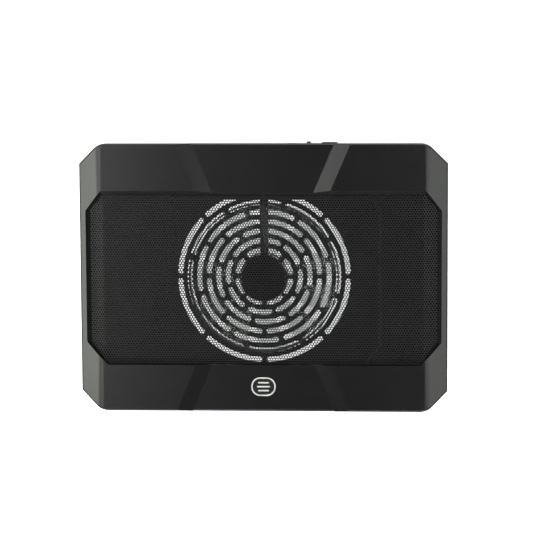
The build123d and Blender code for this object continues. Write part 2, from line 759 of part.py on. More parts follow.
with BuildPart() as board_screws:
    with BuildSketch(below(BOARD_DEPTH)):
        with Locations(*PCB_SCREWS):
            Circle(2)
    extrude(amount=1.2)
    with BuildSketch(below(BOARD_DEPTH)):
        with Locations(*PCB_SCREWS):
            Circle(PCB_SCREW_RADIUS)
    extrude(amount=-6)
board_screws.part.label = "board_screws"
export_step(board_screws.part, "parts/board_screws.step")

# ------------------------------------------------------------------ front lights
LIGHT_BAR = (106, 5, 2.5)
LENS_RISE = 0.8
LIGHT_BOARD_Y = -DEPTH / 2 + SKIN + 6.1

with BuildPart() as light_guide:
    with BuildSketch(front_wall(0, LIGHT_DEPTH, -DEPTH / 2 + SKIN)):
        Rectangle(*LIGHT_BAR[:2])
    extrude(amount=-LIGHT_BAR[2])
    for x in LIGHT_X:
        with BuildSketch(front_wall(x, LIGHT_DEPTH, -DEPTH / 2 + SKIN)):
            RectangleRounded(LIGHT_SIZE[0] - 2 * RUNNING_GAP, LIGHT_SIZE[1] - 2 * RUNNING_GAP, 0.55)
        extrude(amount=SKIN + LENS_RISE)
light_guide.part.label = "light_guide"
export_step(light_guide.part, "parts/light_guide.step")

with BuildPart() as light_board:
    with BuildSketch(front_wall(0, LIGHT_DEPTH, LIGHT_BOARD_Y)):
        Rectangle(104, 8)
    extrude(amount=-1.2)
light_board.part.label = "light_board"
export_step(light_board.part, "parts/light_board.step")

with BuildPart() as light_diodes:
    for x in LIGHT_X:
        with BuildSketch(front_wall(x, LIGHT_DEPTH, LIGHT_BOARD_Y)):
            Rectangle(3.5, 2.8)
        extrude(amount=1.6)
light_diodes.part.label = "light_diodes"
export_step(light_diodes.part, "parts/light_diodes.step")

# ------------------------------------------------------------------ wires
WIRE_RADIUS = 0.6
WIRE_BEND = 2.5
WIRE_DEPTH = 22.7
CONNECTOR_DEPTH = 15.4
FAN_WIRE_PITCH = 1.6
CLIP_LENGTH = 42
CLIP_PLACE = (0, 50)


def wire(points):
    """A round wire that follows points given as x, y and depth."""
    with BuildPart(mode=Mode.PRIVATE) as strand:
        with BuildLine() as path:
            corners = [DECK.from_local_coords((x, y, -depth)) for x, y, depth in points]
            FilletPolyline(*corners, radius=WIRE_BEND)
        with BuildSketch(Plane(origin=path.line @ 0, z_dir=path.line % 0)):
            Circle(WIRE_RADIUS)
        sweep(path=path.line)
    return strand.part


with BuildPart() as fan_wires:
    for offset_x in (-FAN_WIRE_PITCH, 0, FAN_WIRE_PITCH):
        turn_y = 108 - offset_x
        add(
            wire(
                [
                    (offset_x, FAN_Y + 15.5, WIRE_DEPTH),
                    (offset_x, turn_y, WIRE_DEPTH),
                    (7, turn_y, WIRE_DEPTH),
                    (13, turn_y, CONNECTOR_DEPTH),
                    (19, turn_y, CONNECTOR_DEPTH),
                ]
            )
        )
fan_wires.part.label = "fan_wires"
export_step(fan_wires.part, "parts/fan_wires.step")

with BuildPart() as light_wires:
    for gap in (0, 1.6):
        add(
            wire(
                [
                    (52, -124.5 + gap, 12.4),
                    (66, -124.5 + gap, 12.4),
                    (90 - gap, -110 + 0.8 * gap, WIRE_DEPTH),
                    (118 - gap, -70, WIRE_DEPTH),
                    (118 - gap, 68 - gap, WIRE_DEPTH),
                    (100 - gap, 93 - gap, WIRE_DEPTH),
                    (76.8 - gap, 93 - gap, WIRE_DEPTH),
                    (76.8 - gap, 100, CONNECTOR_DEPTH),
                    (76.8 - gap, 106, CONNECTOR_DEPTH),
                ]
            )
        )
light_wires.part.label = "light_wires"
export_step(light_wires.part, "parts/light_wires.step")

with BuildPart() as wire_clip:
    # bridge over the fan's wires on the grille's radial arm
    with BuildSketch(fan_plane(FLOOR)):
        with Locations(CLIP_PLACE):
            Rectangle(8, CLIP_LENGTH)
    extrude(amount=1.9)
    with BuildSketch(fan_plane(FLOOR)):
        with Locations(CLIP_PLACE):
            Rectangle(5.6, CLIP_LENGTH)
    extrude(amount=1.45, mode=Mode.SUBTRACT)
wire_clip.part.label = "wire_clip"
export_step(wire_clip.part, "parts/wire_clip.step")

# ------------------------------------------------------------------ badge
BADGE_Y = -110
BADGE_SIZE = (24.6, 19)
BADGE_ROUND = 9
BADGE_RIM = 1.4
BADGE_FIELD = (BADGE_SIZE[0] - 2 * BADGE_RIM, BADGE_SIZE[1] - 2 * BADGE_RIM)
BADGE_BAR = (13, 1.4)
RIM_HEIGHT = 0.7
PLATE_HEIGHT = 0.35
BAR_HEIGHT = 0.25

with BuildPart() as badge_rim:
    with BuildSketch(below(FRONT_TROUGH)):
        with Locations((0, BADGE_Y)):
            RectangleRounded(*BADGE_SIZE, BADGE_ROUND)
            RectangleRounded(*BADGE_FIELD, BADGE_ROUND - BADGE_RIM, mode=Mode.SUBTRACT)
    extrude(amount=RIM_HEIGHT)
    crest = badge_rim.faces().sort_by(UP)[-1].edges()
    fillet(crest, 0.3)
badge_rim.part.label = "badge_rim"
export_step(badge_rim.part, "parts/badge_rim.step")

with BuildPart() as badge_plate:
    with BuildSketch(below(FRONT_TROUGH)):
        with Locations((0, BADGE_Y)):
            RectangleRounded(*BADGE_FIELD, BADGE_ROUND - BADGE_RIM)
    extrude(amount=PLATE_HEIGHT)
badge_plate.part.label = "badge_plate"
export_step(badge_plate.part, "parts/badge_plate.step")

with BuildPart() as badge_bars:
    with BuildSketch(below(FRONT_TROUGH - PLATE_HEIGHT)):
        for shift in (-4, 0, 4):
            with Locations((0, BADGE_Y + shift)):
                SlotOverall(BADGE_BAR[0] - abs(shift) / 2, BADGE_BAR[1])
    extrude(amount=BAR_HEIGHT)
badge_bars.part.label = "badge_bars"
export_step(badge_bars.part, "parts/badge_bars.step")

# ------------------------------------------------------------------ screws of the case and risers
CASE_SCREW_LENGTH = 13
HEAD_HEIGHT = 1.8
CROSS_RECESS = (3, 0.6)

with BuildPart() as case_screws:
    with BuildSketch(below(SLAB - COUNTERBORE[1])):
        with Locations(*CASE_SCREWS):
            Circle(SCREW_RADIUS)
    extrude(amount=CASE_SCREW_LENGTH)
    with BuildSketch(below(SLAB - COUNTERBORE[1])):
        with Locations(*CASE_SCREWS):
            Circle(SCREW_HEAD)
    extrude(amount=-HEAD_HEIGHT)
    with BuildSketch(below(SLAB - COUNTERBORE[1] + HEAD_HEIGHT)):
        with Locations(*CASE_SCREWS):
            Rectangle(*CROSS_RECESS)
            Rectangle(*reversed(CROSS_RECESS))
    extrude(amount=1, mode=Mode.SUBTRACT)
case_screws.part.label = "case_screws"
export_step(case_screws.part, "parts/case_screws.step")

with BuildPart() as riser_screws:
    with BuildSketch(below(FLOOR)):
        with Locations(*RISER_SCREWS):
            Circle(SCREW_HEAD)
    extrude(amount=1.6)
    with BuildSketch(below(FLOOR)):
        with Locations(*RISER_SCREWS):
            Circle(SCREW_RADIUS)
    extrude(amount=-8)
riser_screws.part.label = "riser_screws"
export_step(riser_screws.part, "parts/riser_screws.step")

# ------------------------------------------------------------------ risers, flip-out legs and rubber feet
RISER_BASE = 2
RISER_WALL = 2.5
RISER_FLARE = 4
RISER_ROUND = 7
RISER_POST = 3.4
LEG_LENGTH = 28
LEG_WIDTH = 44
LEG_THICKNESS = 5
LEG_TIP = 7
HINGE_Y = RISER_Y + 12
HINGE_HEIGHT = RISER_BASE + 3.4
PIN_RADIUS = 1.5
POCKET_TOP = HINGE_HEIGHT + LEG_THICKNESS / 2 + 0.7
POCKET_WIDTH = LEG_WIDTH + 2
LEG_KEY = (4, 2)
LEG_WINDOW = (16, 11, 2)
PIN_OVERHANG = 4.5
REAR_FOOT = (5.6, 32)
FRONT_FEET = [(-135, -114), (135, -114)]
FRONT_FOOT = (34, 11)

for side, hand in ((-1, "left"), (1, "right")):
    centre = (side * RISER_X, RISER_Y)

    with BuildPart() as riser:
        with BuildSketch(DESK.offset(RISER_BASE)):
            with Locations(centre):
                RectangleRounded(*RISER_SIZE, RISER_ROUND)
        extrude(amount=SLAB + PAST, taper=-RISER_FLARE)
        with BuildSketch(DESK.offset(POCKET_TOP + RISER_WALL)):
            with Locations(centre):
                RectangleRounded(*RISER_SIZE, RISER_ROUND)
                offset(amount=-RISER_WALL, mode=Mode.REPLACE)
        extrude(amount=SLAB + PAST / 2, taper=-RISER_FLARE, mode=Mode.SUBTRACT)
        # posts for the screws that hold the riser to the bottom cover
        posts = [place for place in RISER_SCREWS if place[0] * side > 0]
        with BuildSketch(below(SLAB)):
            with Locations(*posts):
                Circle(RISER_POST)
        extrude(amount=-10)
        with BuildSketch(below(SLAB)):
            with Locations(*posts):
                Circle(SCREW_RADIUS)
        extrude(amount=-7, mode=Mode.SUBTRACT)
        split(bisect_by=below(SLAB), keep=Keep.BOTTOM)
        # pocket for the folded leg
        with BuildSketch(DESK):
            with Locations((centre[0], HINGE_Y + 4)):
                Rectangle(POCKET_WIDTH, LEG_LENGTH + 7.5, align=(Align.CENTER, Align.MAX))
        extrude(amount=POCKET_TOP, mode=Mode.SUBTRACT)
        pin_plane = Plane(origin=(centre[0], HINGE_Y, HINGE_HEIGHT), x_dir=(0, 1, 0), z_dir=(1, 0, 0))
        with BuildSketch(pin_plane):
            Circle(PIN_RADIUS)
        extrude(amount=POCKET_WIDTH / 2 + PIN_OVERHANG + 0.5, both=True, mode=Mode.SUBTRACT)
    riser.part.label = f"riser_{hand}"
    export_step(riser.part, f"parts/riser_{hand}.step")

    with BuildPart() as hinge_pin:
        with BuildSketch(pin_plane):
            Circle(PIN_RADIUS)
        extrude(amount=POCKET_WIDTH / 2 + PIN_OVERHANG, both=True)
        chamfer(hinge_pin.edges().filter_by(GeomType.CIRCLE), 0.3)
    hinge_pin.part.label = f"hinge_pin_{hand}"
    export_step(hinge_pin.part, f"parts/hinge_pin_{hand}.step")

    with BuildPart() as stand_leg:
        with BuildSketch(pin_plane):
            Circle(LEG_THICKNESS / 2)
            Rectangle(LEG_LENGTH - LEG_TIP, LEG_THICKNESS, align=(Align.MAX, Align.CENTER))
            with Locations((-(LEG_LENGTH - LEG_TIP), 0)):
                Rectangle(*LEG_KEY, align=(Align.MAX, Align.CENTER))
        extrude(amount=LEG_WIDTH / 2, both=True)
        with BuildSketch(pin_plane):
            Circle(PIN_RADIUS + RUNNING_GAP)
        extrude(amount=LEG_WIDTH, both=True, mode=Mode.SUBTRACT)
        # two shallow windows in the leg's outer face
        outer_face = DESK.offset(HINGE_HEIGHT - LEG_THICKNESS / 2)
        with BuildSketch(outer_face):
            with Locations((centre[0], HINGE_Y - 10)):
                with GridLocations(LEG_WIDTH / 2, 1, 2, 1):
                    RectangleRounded(*LEG_WINDOW)
        extrude(amount=2.6, mode=Mode.SUBTRACT)
    stand_leg.part.label = f"stand_leg_{hand}"
    export_step(stand_leg.part, f"parts/stand_leg_{hand}.step")

    with BuildPart() as stand_tip:
        with BuildSketch(pin_plane):
            with Locations((-(LEG_LENGTH - LEG_TIP), 0)):
                Rectangle(LEG_TIP, LEG_THICKNESS, align=(Align.MAX, Align.CENTER))
                Rectangle(*LEG_KEY, align=(Align.MAX, Align.CENTER), mode=Mode.SUBTRACT)
        extrude(amount=LEG_WIDTH / 2, both=True)
        fillet(stand_tip.edges().filter_by(Axis.X).group_by(Axis.Y)[0], 1.6)
    stand_tip.part.label = f"stand_tip_{hand}"
    export_step(stand_tip.part, f"parts/stand_tip_{hand}.step")

    with BuildPart() as rear_foot:
        with BuildSketch(DESK):
            with Locations(centre):
                with GridLocations(RISER_SIZE[0] - 8, 1, 2, 1):
                    RectangleRounded(*REAR_FOOT, 2.6)
        extrude(amount=RISER_BASE)
    rear_foot.part.label = f"rear_feet_{hand}"
    export_step(rear_foot.part, f"parts/rear_feet_{hand}.step")

with BuildPart() as front_feet:
    with BuildSketch(below(SLAB)):
        with Locations(*FRONT_FEET):
            RectangleRounded(*FRONT_FOOT, 5.4)
    extrude(amount=-PAST)
    split(bisect_by=DESK, keep=Keep.TOP)
front_feet.part.label = "front_feet"
export_step(front_feet.part, "parts/front_feet.step")
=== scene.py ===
import json
import math

import bpy
import numpy as np
from mathutils import Matrix, Vector
from mathutils.geometry import convex_hull_2d, delaunay_2d_cdt


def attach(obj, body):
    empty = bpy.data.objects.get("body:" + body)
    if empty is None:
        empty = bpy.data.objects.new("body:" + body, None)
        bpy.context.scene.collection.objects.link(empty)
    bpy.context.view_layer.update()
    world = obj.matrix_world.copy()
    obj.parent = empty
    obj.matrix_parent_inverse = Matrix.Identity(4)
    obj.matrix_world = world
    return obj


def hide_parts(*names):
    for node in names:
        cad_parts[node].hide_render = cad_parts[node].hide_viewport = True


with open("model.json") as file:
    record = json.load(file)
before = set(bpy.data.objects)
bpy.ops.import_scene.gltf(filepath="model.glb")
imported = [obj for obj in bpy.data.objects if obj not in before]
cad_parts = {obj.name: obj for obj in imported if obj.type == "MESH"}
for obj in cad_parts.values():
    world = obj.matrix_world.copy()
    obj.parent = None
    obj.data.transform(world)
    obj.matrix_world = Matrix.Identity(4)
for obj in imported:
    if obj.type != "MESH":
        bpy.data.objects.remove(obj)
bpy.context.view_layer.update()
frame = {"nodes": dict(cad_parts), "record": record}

MM = 0.001
nodes = frame["nodes"]
record = frame["record"]

# ------------------------------------------------------------------ the deck's own axes
mounts = {mount["name"]: mount for mount in record["mounts"]}
joints = {joint["name"]: joint for joint in record["behaviour"]["joints"]}
NORMAL = Vector(mounts["deck_face"]["axis"]).normalized()
ACROSS = Vector((1, 0, 0))
ALONG = NORMAL.cross(ACROSS)
FAN = Vector(joints["fan_spin"]["pos_m"])
DECK_HEIGHT = (Vector(mounts["deck_face"]["pos_m"]) - FAN).dot(NORMAL)
DECK_CENTRE = FAN + NORMAL * DECK_HEIGHT
DECK = Matrix.Translation(DECK_CENTRE) @ Matrix((ACROSS, ALONG, NORMAL)).transposed().to_4x4()
FROM_DECK = np.array(DECK)
TO_DECK = np.array(DECK.inverted())


def moved(points, matrix):
    return points @ matrix[:3, :3].T + matrix[:3, 3]


def deck_points(node):
    """A CAD node's points across the deck, along it from the fan's axis, and up from it."""
    mesh = nodes[node].data
    points = np.empty(len(mesh.vertices) * 3)
    mesh.vertices.foreach_get("co", points)
    return moved(points.reshape(-1, 3), TO_DECK)


def leaning(leftward, rearward):
    """The direction that leans from straight above the deck, in degrees to the left and to the rear."""
    left = math.tan(math.radians(leftward))
    rear = math.tan(math.radians(rearward))
    return (NORMAL + ALONG * rear - ACROSS * left).normalized()


def facing(target, away, distance):
    """Where a camera or light stands so far away from a target and looks back at it, deck upright."""
    sideways = ALONG.cross(away).normalized()
    axes = Matrix((sideways, away.cross(sideways), away)).transposed().to_4x4()
    return Matrix.Translation(target + away * distance) @ axes


# ------------------------------------------------------------------ camera
VIEW_LEFTWARD = -3.56
VIEW_REARWARD = 6.93
VIEW_ROLL = math.radians(-0.3)
VIEW_DISTANCE = 2.3195
VIEW_TARGET = (3.7 * MM, 13.0 * MM)
LENS = 156.4
CLIP_END = 20

camera = bpy.data.objects.new("camera", bpy.data.cameras.new("camera"))
bpy.context.scene.collection.objects.link(camera)
target = DECK @ Vector((*VIEW_TARGET, 0))
stand = facing(target, leaning(VIEW_LEFTWARD, VIEW_REARWARD), VIEW_DISTANCE)
camera.matrix_world = stand @ Matrix.Rotation(VIEW_ROLL, 4, "Z")
camera.data.lens = LENS
camera.data.clip_end = CLIP_END
bpy.context.scene.camera = camera

# ------------------------------------------------------------------ lights and world
WORLD_GREY = 0.06
TINT = (0.97, 1.0, 0.96)
KEY_TINT = (0.945, 1.0, 0.915)


def softbox(name, away, distance, size, power, tint=TINT):
    """An area light, so wide across and along the deck, that faces its centre."""
    light = bpy.data.lights.new(name, "AREA")
    light.shape = "RECTANGLE"
    light.size, light.size_y = size
    light.energy = power
    light.color = tint
    lamp = bpy.data.objects.new(name, light)
    bpy.context.scene.collection.objects.link(lamp)
    lamp.matrix_world = facing(DECK_CENTRE, away, distance)


# key and fill light the side panels, the two far ones the rear ramps, and the other three fill in
softbox("key_softbox", leaning(47, 7), distance=1.2, size=(0.4, 1.0), power=7.3, tint=KEY_TINT)
softbox("fill_softbox", leaning(-40, 1), distance=1.2, size=(0.6, 1.0), power=4.4)
softbox("near_softbox", leaning(30, 6), distance=1.2, size=(0.35, 1.0), power=1.8)
softbox("far_key_softbox", leaning(17, 4), distance=3.0, size=(0.5, 2.0), power=9.2)
softbox("far_fill_softbox", leaning(-15, 3), distance=3.0, size=(0.5, 2.0), power=7.6)
softbox("rear_softbox", leaning(0, 52), distance=1.4, size=(1.0, 0.5), power=8)
softbox("front_softbox", leaning(0, -45), distance=1.5, size=(1.2, 0.4), power=12)

world = bpy.data.worlds.new("studio")
world.use_nodes = True
world.node_tree.nodes["Background"].inputs["Color"].default_value = (WORLD_GREY, WORLD_GREY, WORLD_GREY, 1)
bpy.context.scene.world = world
bpy.context.scene.view_settings.view_transform = "Standard"

# ------------------------------------------------------------------ material helpers
# a noise node's values lie mostly between these two
NOISE_LOW = 0.3
NOISE_HIGH = 0.7
# the width of the roughness's blotches as a share of the colour's
ROUGHNESS_SCALE = 0.37
materials = {}


def new_material(name, **fixed):
    """The node tree and shader of a material kept by its name, with fixed values on the shader's sockets."""
    material = bpy.data.materials.new(name)
    material.use_nodes = True
    shader = material.node_tree.nodes["Principled BSDF"]
    for socket, value in fixed.items():
        shader.inputs[socket.replace("_", " ")].default_value = value
    materials[name] = material
    return material.node_tree, shader


def noise(tree, size, detail=3.0, stretch=(1, 1, 1)):
    """Noise over the object's own coordinates whose features are about size metres wide."""
    coordinates = tree.nodes.new("ShaderNodeTexCoord")
    mapping = tree.nodes.new("ShaderNodeMapping")
    mapping.inputs["Scale"].default_value = stretch
    tree.links.new(coordinates.outputs["Object"], mapping.inputs["Vector"])
    texture = tree.nodes.new("ShaderNodeTexNoise")
    texture.inputs["Scale"].default_value = 1 / size
    texture.inputs["Detail"].default_value = detail
    tree.links.new(mapping.outputs["Vector"], texture.inputs["Vector"])
    return texture.outputs["Fac"]


def cells(tree, size):
    """Rounded pits or grains about size metres wide."""
    coordinates = tree.nodes.new("ShaderNodeTexCoord")
    texture = tree.nodes.new("ShaderNodeTexVoronoi")
    texture.feature = "SMOOTH_F1"
    texture.inputs["Scale"].default_value = 1 / size
    tree.links.new(coordinates.outputs["Object"], texture.inputs["Vector"])
    return texture.outputs["Distance"]


def from_axis(tree, place, axis):
    """Distance from a line through a place, in metres."""
    coordinates = tree.nodes.new("ShaderNodeTexCoord")
    offset = tree.nodes.new("ShaderNodeVectorMath")
    offset.operation = "SUBTRACT"
    offset.inputs[1].default_value = place
    across = tree.nodes.new("ShaderNodeVectorMath")
    across.operation = "CROSS_PRODUCT"
    across.inputs[1].default_value = axis
    length = tree.nodes.new("ShaderNodeVectorMath")
    length.operation = "LENGTH"
    tree.links.new(coordinates.outputs["Object"], offset.inputs[0])
    tree.links.new(offset.outputs["Vector"], across.inputs[0])
    tree.links.new(across.outputs["Vector"], length.inputs[0])
    return length.outputs["Value"]


def rescaled(tree, source, from_range, to_range=(0, 1)):
    """A value moved from one range to another, and held at its ends."""
    spread = tree.nodes.new("ShaderNodeMapRange")
    spread.inputs["From Min"].default_value, spread.inputs["From Max"].default_value = from_range
    spread.inputs["To Min"].default_value, spread.inputs["To Max"].default_value = to_range
    tree.links.new(source, spread.inputs["Value"])
    return spread.outputs["Result"]


def two_tones(tree, source, dark, light):
    """A colour between dark and light that follows a noise."""
    ramp = tree.nodes.new("ShaderNodeValToRGB")
    for element, place, colour in zip(ramp.color_ramp.elements, (NOISE_LOW, NOISE_HIGH), (dark, light)):
        element.position = place
        element.color = (*colour, 1)
    tree.links.new(source, ramp.inputs["Fac"])
    return ramp.outputs["Color"]


def vary_colour(tree, shader, source, dark, light):
    tree.links.new(two_tones(tree, source, dark, light), shader.inputs["Base Color"])


def vary_roughness(tree, shader, source, low, high):
    roughness = rescaled(tree, source, (NOISE_LOW, NOISE_HIGH), (low, high))
    tree.links.new(roughness, shader.inputs["Roughness"])


def relief(tree, shader, *layers):
    """Stacked bump layers, each a height source and its depth in metres."""
    normal = None
    for source, depth in layers:
        bump = tree.nodes.new("ShaderNodeBump")
        bump.inputs["Distance"].default_value = depth
        tree.links.new(source, bump.inputs["Height"])
        if normal:
            tree.links.new(normal, bump.inputs["Normal"])
        normal = bump.outputs["Normal"]
    tree.links.new(normal, shader.inputs["Normal"])


def finish_of(name, dark, light, rough, blotch, grain, depth, **fixed):
    """A finish whose colour and roughness drift over blotches, with a fine grain in its relief."""
    tree, shader = new_material(name, **fixed)
    vary_colour(tree, shader, noise(tree, blotch), dark, light)
    vary_roughness(tree, shader, noise(tree, blotch * ROUGHNESS_SCALE, 5), *rough)
    relief(tree, shader, (noise(tree, grain, 2), depth))


def brushed(name, dark, light, rough, lines, **fixed):
    """Metal with fine lines, whose noise is finer along some axes than others."""
    tree, shader = new_material(name, Metallic=1, **fixed)
    vary_colour(tree, shader, noise(tree, 5 * MM, 3), dark, light)
    vary_roughness(tree, shader, noise(tree, 2 * MM, 3), *rough)
    relief(tree, shader, (noise(tree, 1 * MM, 3, lines), 0.004 * MM))


def grey(value, tint=(1, 1, 1)):
    return tuple(value * channel for channel in tint)


# ------------------------------------------------------------------ materials by slot
COOL = (0.98, 1.0, 1.02)
LINES_ALONG_X = (1, 14, 14)
LINES_ACROSS_X = (14, 1, 1)
WINDING_LINES = (1, 1, 12)
LAMINATION_LINES = (1, 1, 20)
HUB_BLACK = grey(0.01)
HUB_FADE = 0.5 * MM
HUB_TOP_DEPTH = 0.1 * MM

# the hub's flat top is the highest part of the rotor
rotor_points = deck_points("fan_rotor")
hub_top = rotor_points[rotor_points[:, 2] > rotor_points[:, 2].max() - HUB_TOP_DEPTH]
HUB_TOP_RADIUS = float(np.linalg.norm(hub_top[:, :2], axis=1).max())


def case_plastic():
    """Black moulding with an eroded grain: shallow rounded pits, finer grit on top."""
    tree, shader = new_material("case_plastic")
    vary_colour(tree, shader, noise(tree, 30 * MM, 4), grey(0.005, COOL), grey(0.0065, COOL))
    vary_roughness(tree, shader, noise(tree, 5 * MM, 6), 0.19, 0.206)
    relief(tree, shader, (cells(tree, 0.55 * MM), 0.018 * MM), (noise(tree, 0.22 * MM, 3), 0.02 * MM))


def mesh_steel():
    """Powder coat: a fine orange peel over dark steel."""
    tree, shader = new_material("mesh_steel", Specular_IOR_Level=0.28)
    vary_colour(tree, shader, noise(tree, 20 * MM, 3), grey(0.008, COOL), grey(0.011, COOL))
    vary_roughness(tree, shader, noise(tree, 2 * MM, 4), 0.36, 0.42)
    relief(tree, shader, (noise(tree, 0.5 * MM, 2), 0.03 * MM))


def fan_smoke():
    """Smoky clear moulding with faint flow streaks, black within the radius of the hub's flat top."""
    tree, shader = new_material("fan_smoke", Transmission_Weight=1, IOR=1.49)
    smoke = two_tones(tree, noise(tree, 12 * MM, 3), (0.66, 0.68, 0.68), (0.74, 0.76, 0.76))
    fade = (HUB_TOP_RADIUS - HUB_FADE, HUB_TOP_RADIUS + HUB_FADE)
    outside = rescaled(tree, from_axis(tree, FAN, NORMAL), fade)
    mix = tree.nodes.new("ShaderNodeMix")
    mix.data_type = "RGBA"
    hub_colour, blade_colour = (socket for socket in mix.inputs if socket.enabled and socket.type == "RGBA")
    hub_colour.default_value = (*HUB_BLACK, 1)
    tree.links.new(outside, mix.inputs["Factor"])
    tree.links.new(smoke, blade_colour)
    mixed = next(socket for socket in mix.outputs if socket.enabled)
    tree.links.new(mixed, shader.inputs["Base Color"])
    vary_roughness(tree, shader, noise(tree, 3 * MM, 4), 0.08, 0.16)
    relief(tree, shader, (noise(tree, 2.5 * MM, 2), 0.02 * MM))


def light_guide():
    """Clear acrylic that carries the diodes' blue light."""
    blue = (0.05, 0.22, 1.0, 1)
    tree, shader = new_material(
        "light_guide", Transmission_Weight=0.6, Emission_Color=blue, Emission_Strength=2
    )
    vary_colour(tree, shader, noise(tree, 4 * MM, 2), (0.2, 0.42, 0.9), (0.3, 0.55, 1.0))
    vary_roughness(tree, shader, noise(tree, 1 * MM, 2), 0.12, 0.2)
    relief(tree, shader, (noise(tree, 0.8 * MM, 2), 0.02 * MM))


def light_diode():
    """Pale moulding that glows blue."""
    tree, shader = new_material("light_diode", Emission_Color=(0.08, 0.25, 1.0, 1), Emission_Strength=6)
    vary_colour(tree, shader, noise(tree, 1 * MM, 2), (0.5, 0.55, 0.3), (0.6, 0.6, 0.35))
    vary_roughness(tree, shader, noise(tree, 0.5 * MM, 2), 0.2, 0.35)
    relief(tree, shader, (noise(tree, 0.4 * MM, 2), 0.01 * MM))


case_plastic()
mesh_steel()
fan_smoke()
light_guide()
light_diode()
finish_of(
    "fan_frame", dark=grey(0.012), light=grey(0.017), rough=(0.4, 0.5),
    blotch=15 * MM, grain=0.3 * MM, depth=0.015 * MM,
)
brushed(
    "steel", dark=grey(0.52, COOL), light=grey(0.62, COOL), rough=(0.28, 0.4), lines=LINES_ALONG_X
)
finish_of(
    "black_steel", dark=grey(0.008), light=grey(0.014), rough=(0.3, 0.42),
    blotch=2 * MM, grain=0.3 * MM, depth=0.01 * MM,
)
finish_of(
    "magnet", dark=grey(0.05), light=grey(0.075), rough=(0.55, 0.7),
    blotch=3 * MM, grain=0.3 * MM, depth=0.02 * MM,
)
finish_of(
    "bronze", dark=(0.45, 0.25, 0.1), light=(0.6, 0.36, 0.16), rough=(0.35, 0.5),
    blotch=2 * MM, grain=0.2 * MM, depth=0.01 * MM, Metallic=1,
)
brushed(
    "copper", dark=(0.6, 0.2, 0.07), light=(0.78, 0.3, 0.12), rough=(0.2, 0.3),
    lines=WINDING_LINES, Coat_Weight=0.6,
)
brushed(
    "laminations", dark=grey(0.3), light=grey(0.42), rough=(0.4, 0.5), lines=LAMINATION_LINES
)
finish_of(
    "circuit_green", dark=(0.006, 0.07, 0.025), light=(0.01, 0.1, 0.035), rough=(0.25, 0.35),
    blotch=6 * MM, grain=0.5 * MM, depth=0.01 * MM,
)
finish_of(
    "circuit_parts", dark=grey(0.02), light=grey(0.03), rough=(0.4, 0.5),
    blotch=4 * MM, grain=0.2 * MM, depth=0.01 * MM,
)
brushed(
    "socket_shell", dark=grey(0.62, COOL), light=grey(0.72, COOL), rough=(0.16, 0.28),
    lines=LINES_ACROSS_X,
)
finish_of(
    "socket_insert", dark=grey(0.012), light=grey(0.018), rough=(0.3, 0.4),
    blotch=3 * MM, grain=0.2 * MM, depth=0.008 * MM,
)
finish_of(
    "knob_plastic", dark=grey(0.022), light=grey(0.03), rough=(0.34, 0.44),
    blotch=3 * MM, grain=0.2 * MM, depth=0.01 * MM,
)
finish_of(
    "wire_cover", dark=grey(0.013), light=grey(0.02), rough=(0.42, 0.55),
    blotch=8 * MM, grain=0.4 * MM, depth=0.02 * MM,
)
finish_of(
    "badge_metal", dark=grey(0.6), light=grey(0.67), rough=(0.42, 0.52),
    blotch=5 * MM, grain=0.3 * MM, depth=0.006 * MM, Metallic=0.35,
)
finish_of(
    "badge_field", dark=grey(0.018), light=grey(0.026), rough=(0.22, 0.3),
    blotch=5 * MM, grain=0.15 * MM, depth=0.006 * MM, Metallic=0.4,
)
finish_of(
    "rubber_black", dark=grey(0.012), light=grey(0.02), rough=(0.7, 0.85),
    blotch=6 * MM, grain=0.35 * MM, depth=0.03 * MM, Sheen_Weight=0.15,
)

for subpart in record["subparts"]:
    for material_slot in nodes[subpart["node"]].material_slots:
        material_slot.material = materials[subpart["material_slot"]]

# ------------------------------------------------------------------ floor
FLOOR_SIZE = 8.0
FLOOR_GREY = 0.85
FLOOR_GLOW = 1.0

half = FLOOR_SIZE / 2
floor_corners = [(-half, -half, 0), (half, -half, 0), (half, half, 0), (-half, half, 0)]
floor_mesh = bpy.data.meshes.new("floor")
floor_mesh.from_pydata(floor_corners, [], [(0, 1, 2, 3)])
floor = bpy.data.objects.new("floor", floor_mesh)
bpy.context.scene.collection.objects.link(floor)
new_material(
    "light_table", Base_Color=(FLOOR_GREY, FLOOR_GREY, FLOOR_GREY, 1), Roughness=0.8,
    Specular_IOR_Level=0, Emission_Color=(1, 1, 1, 1), Emission_Strength=FLOOR_GLOW,
)
floor_mesh.materials.append(materials["light_table"])

# ------------------------------------------------------------------ the steel panel's measures
PITCH_ACROSS = 2.65 * MM
ROW_PITCH = 2.27 * MM
HOLE_RADIUS = 0.9 * MM
HOLE_SIDES = 8
WALL_SLANT = math.radians(60)
EDGE_MARGIN = 0.35 * MM
ROOM = 0.001 * MM
SHORTEST_SIDE = 0.05 * MM
DISTANCE_DIGITS = 5
PANEL_BANDS = 4


def signed_area(corners):
    """Twice the area of an outline, and negative if it runs clockwise."""
    return sum(a[0] * b[1] - a[1] * b[0] for a, b in zip(corners, np.roll(corners, -1, axis=0)))


panel_points = deck_points("mesh_panel")
hull = convex_hull_2d([Vector(point) for point in panel_points[:, :2]])
corners = panel_points[hull, :2]
corners = corners[np.linalg.norm(corners - np.roll(corners, 1, axis=0), axis=1) > SHORTEST_SIDE]
if signed_area(corners) < 0:
    corners = corners[::-1]

# the bent section: the highest point at each distance from the middle, and the sheet's thickness there
distances = np.round(np.abs(panel_points[:, 0]), DISTANCE_DIGITS)
profile_across = np.unique(distances)
profile_height = np.array([panel_points[distances == place, 2].max() for place in profile_across])
thickness = profile_height[0] - panel_points[distances == profile_across[0], 2].min()

# a hole is widest at its two lips and narrowest halfway through the sheet
LIP = HOLE_RADIUS + thickness / 2 / math.tan(WALL_SLANT)

